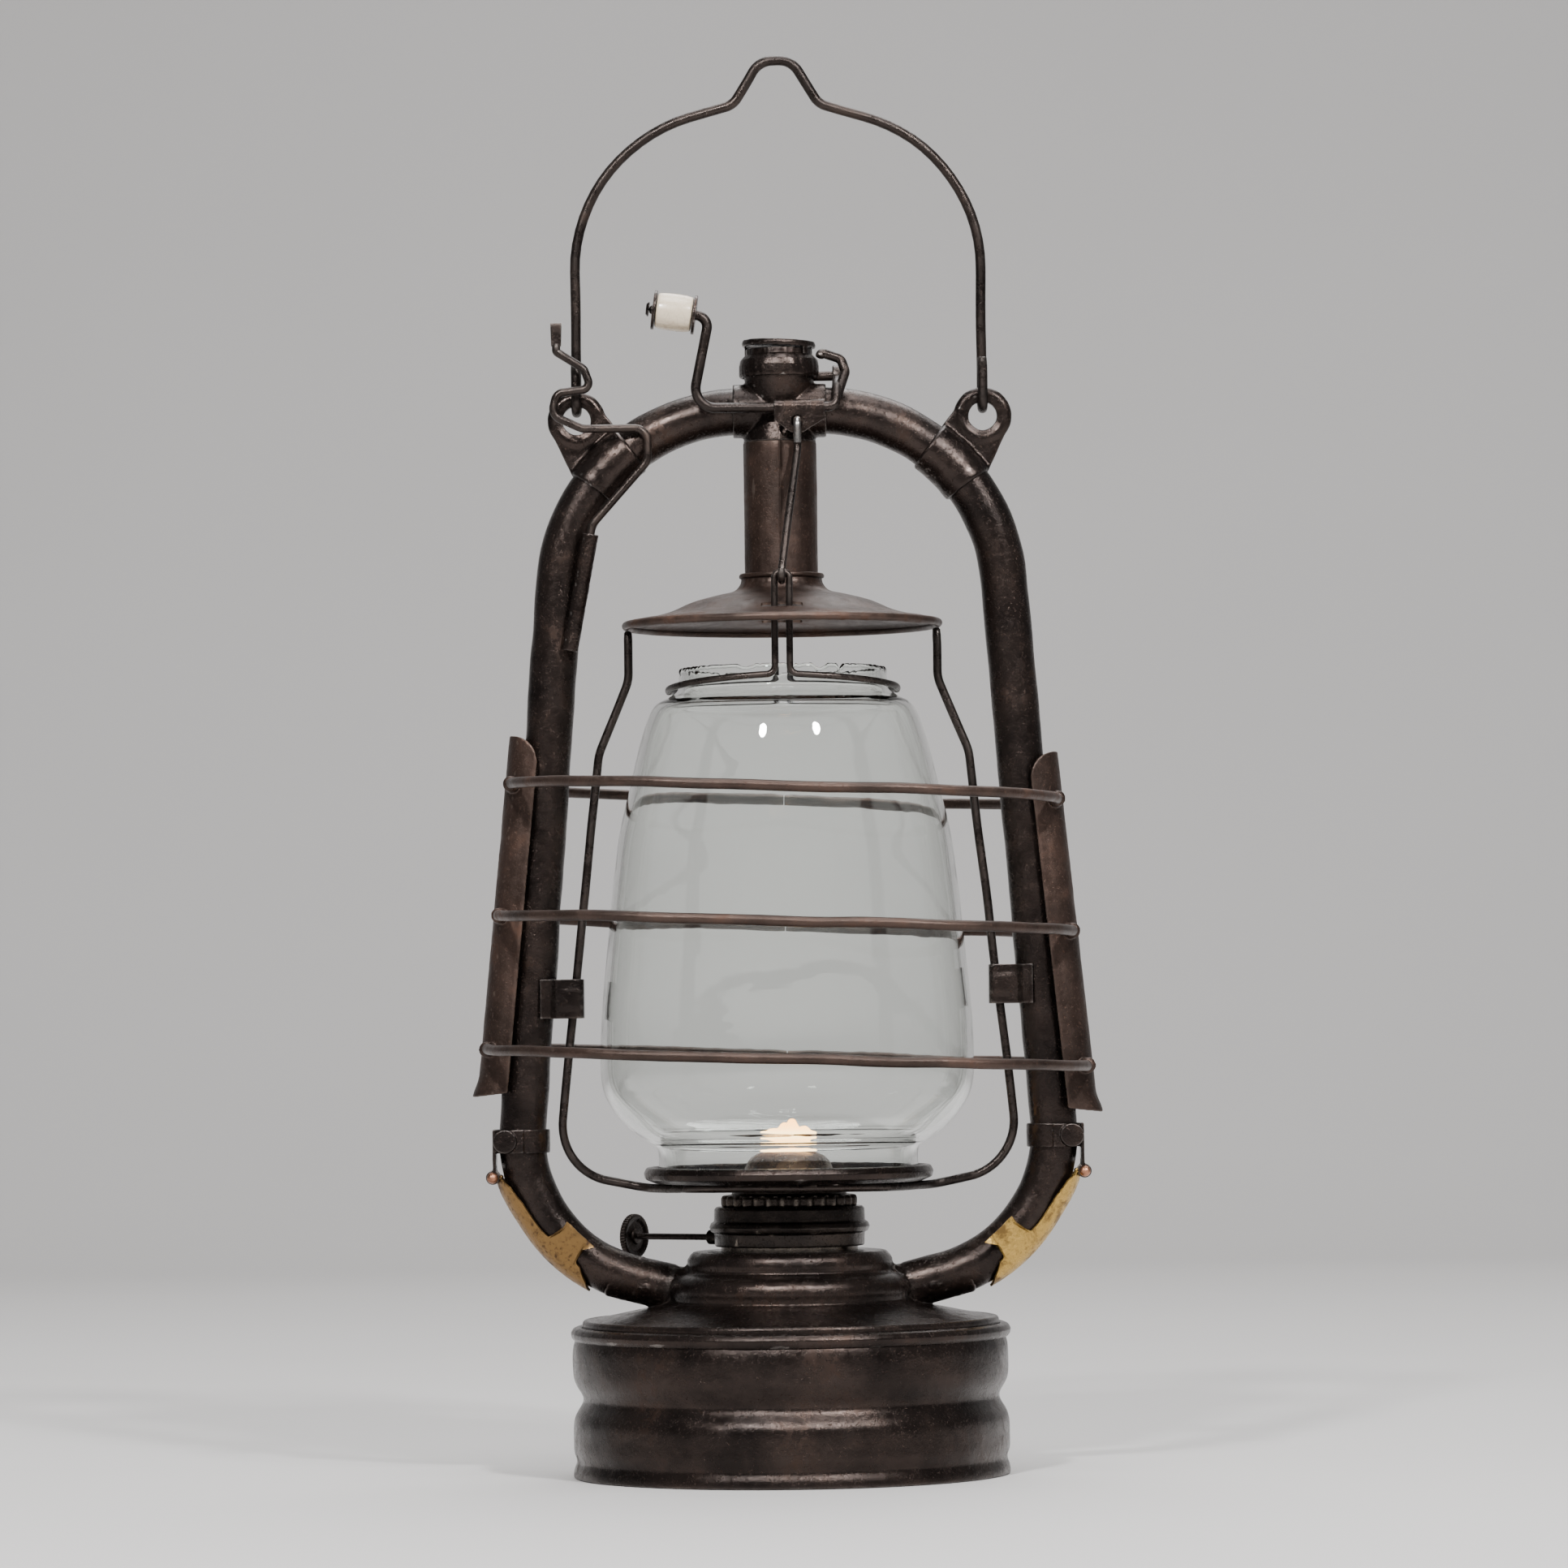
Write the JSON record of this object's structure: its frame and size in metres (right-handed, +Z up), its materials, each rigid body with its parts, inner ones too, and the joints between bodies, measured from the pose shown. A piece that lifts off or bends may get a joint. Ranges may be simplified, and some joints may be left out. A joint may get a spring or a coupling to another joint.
{
  "type": "railway lantern",
  "caption": "Paraffin hand lantern: bent-tube frame on a round tank, glass globe raised by a wire crank, lift-off wire guard, burner with wick knob and carrying bail.",
  "frame": {"origin": "middle of the tank's underside, on the surface it stands on", "axes": "+Z up, -Y towards the front (the side with the lift rod), +X to the right seen from the front"},
  "size_m": [0.1854, 0.1472, 0.426],
  "materials": {
    "aged_steel": "dark brown-black tinned sheet iron, worn shiny on high spots",
    "wire_steel": "dark drawn wire with a worn sheen",
    "rusty_steel": "dark sheet iron with fine rust-brown patina",
    "burner_metal": "dark oiled burner metal",
    "heated_brass": "brass discoloured by heat",
    "bright_brass": "scratched yellow brass",
    "dull_brass": "browned brass",
    "copper_pin": "coppered pin",
    "ceramic": "cream ceramic with grime at its ends; the material list has no ceramic, so gloss plastic stands in",
    "glass": "clear glass, very slightly green, lightly dusty",
    "wick_cotton": "woven cotton, charred at the top",
    "gasket_rubber": "black cork-rubber washer"
  },
  "bodies": {
    "frame": {"tank_body": "aged_steel", "tank_bottom": "aged_steel", "tank_seam": "aged_steel", "tank_top": "aged_steel", "filler_neck": "aged_steel", "left_tube": "aged_steel", "right_tube": "aged_steel", "crown": "aged_steel", "chimney_tube": "rusty_steel", "chimney_collar": "aged_steel", "chimney_lid": "aged_steel", "left_ear": "aged_steel", "right_ear": "aged_steel", "left_guide": "aged_steel", "right_guide": "aged_steel", "tool_sheath": "aged_steel", "lever_axle": "wire_steel", "band_left": "aged_steel", "band_right": "aged_steel", "clip_pin_left": "copper_pin", "clip_pin_right": "copper_pin", "burner_collar": "burner_metal", "burner_base": "burner_metal", "burner_bush": "burner_metal", "burner_gallery": "burner_metal", "air_screen": "burner_metal", "burner_cone": "heated_brass", "wick_tube": "bright_brass"},
    "bail": {"bail": "wire_steel"},
    "lift": {"pull_rod": "wire_steel", "holddown_front": "wire_steel", "holddown_rear": "wire_steel", "globe_frame": "wire_steel", "globe_plate": "aged_steel", "canopy": "rusty_steel", "globe": "glass"},
    "lever": {"lever": "wire_steel", "lever_eye": "wire_steel", "grip_washers": "aged_steel"},
    "grip": {"grip": "ceramic"},
    "link": {"lift_link": "aged_steel"},
    "tool": {"lamp_tool": "wire_steel"},
    "wick_drive": {"wick_shaft": "wire_steel", "wick_sprockets": "bright_brass", "wick_knob": "wire_steel"},
    "wick": {"wick": "wick_cotton"},
    "filler_cap": {"filler_cap": "aged_steel", "filler_gasket": "gasket_rubber"},
    "clip_left": {"clip_left": "dull_brass"},
    "clip_right": {"clip_right": "bright_brass"},
    "guard": {"guard_plate_left": "rusty_steel", "guard_plate_right": "rusty_steel", "hoop_top": "rusty_steel", "hoop_middle": "rusty_steel", "hoop_bottom": "rusty_steel"}
  },
  "joints": [
    {"name": "bail_swing", "type": "hinge", "parent": "frame", "child": "bail", "pos_m": [0, 0, 0.3226], "axis": [-1, 0, 0], "range_deg": [0, 100]},
    {"name": "globe_lift", "type": "slide", "parent": "frame", "child": "lift", "axis": [0, 0, 1], "range_m": [0, 0.019]},
    {"name": "lever_turn", "type": "hinge", "parent": "frame", "child": "lever", "pos_m": [0.0175, 0, 0.329], "axis": [-1, 0, 0], "range_deg": [0, 70]},
    {"name": "link_swing", "type": "hinge", "parent": "lever", "child": "link", "pos_m": [0.0059, -0.013, 0.3186], "axis": [1, 0, 0], "range_deg": [0, 70]},
    {"name": "grip_spin", "type": "hinge", "parent": "lever", "child": "grip", "pos_m": [-0.0386, -0.013, 0.3484], "axis": [0.9905, 0, -0.1376], "continuous": true},
    {"name": "tool_pull", "type": "slide", "parent": "frame", "child": "tool", "axis": [0.1857, -0.0299, 0.9822], "range_m": [0, 0.024]},
    {"name": "wick_turn", "type": "hinge", "parent": "frame", "child": "wick_drive", "pos_m": [-0.03611, 0.01784, 0.0708], "axis": [0.8387, -0.5446, 0], "range_deg": [-115, 75]},
    {"name": "wick_raise", "type": "slide", "parent": "frame", "child": "wick", "axis": [0, 0, 1], "range_m": [-0.006, 0.004]},
    {"name": "cap_pull", "type": "slide", "parent": "frame", "child": "filler_cap", "axis": [0, 0, 1], "range_m": [0, 0.02]},
    {"name": "clip_left_swing", "type": "hinge", "parent": "frame", "child": "clip_left", "pos_m": [-0.0884, 0, 0.0897], "axis": [0, 1, 0], "range_deg": [0, 60]},
    {"name": "clip_right_swing", "type": "hinge", "parent": "frame", "child": "clip_right", "pos_m": [0.0884, 0, 0.0897], "axis": [0, -1, 0], "range_deg": [0, 60]},
    {"name": "guard_lift", "type": "slide", "parent": "frame", "child": "guard", "axis": [0, 0, 1], "range_m": [0, 0.09]}
  ],
  "couplings": [
    {"joint": "lever_turn", "follows": "globe_lift", "rad_per_m": 64.292},
    {"joint": "link_swing", "follows": "globe_lift", "rad_per_m": 64.292},
    {"joint": "wick_raise", "follows": "wick_turn", "m_per_rad": 0.0029}
  ]
}
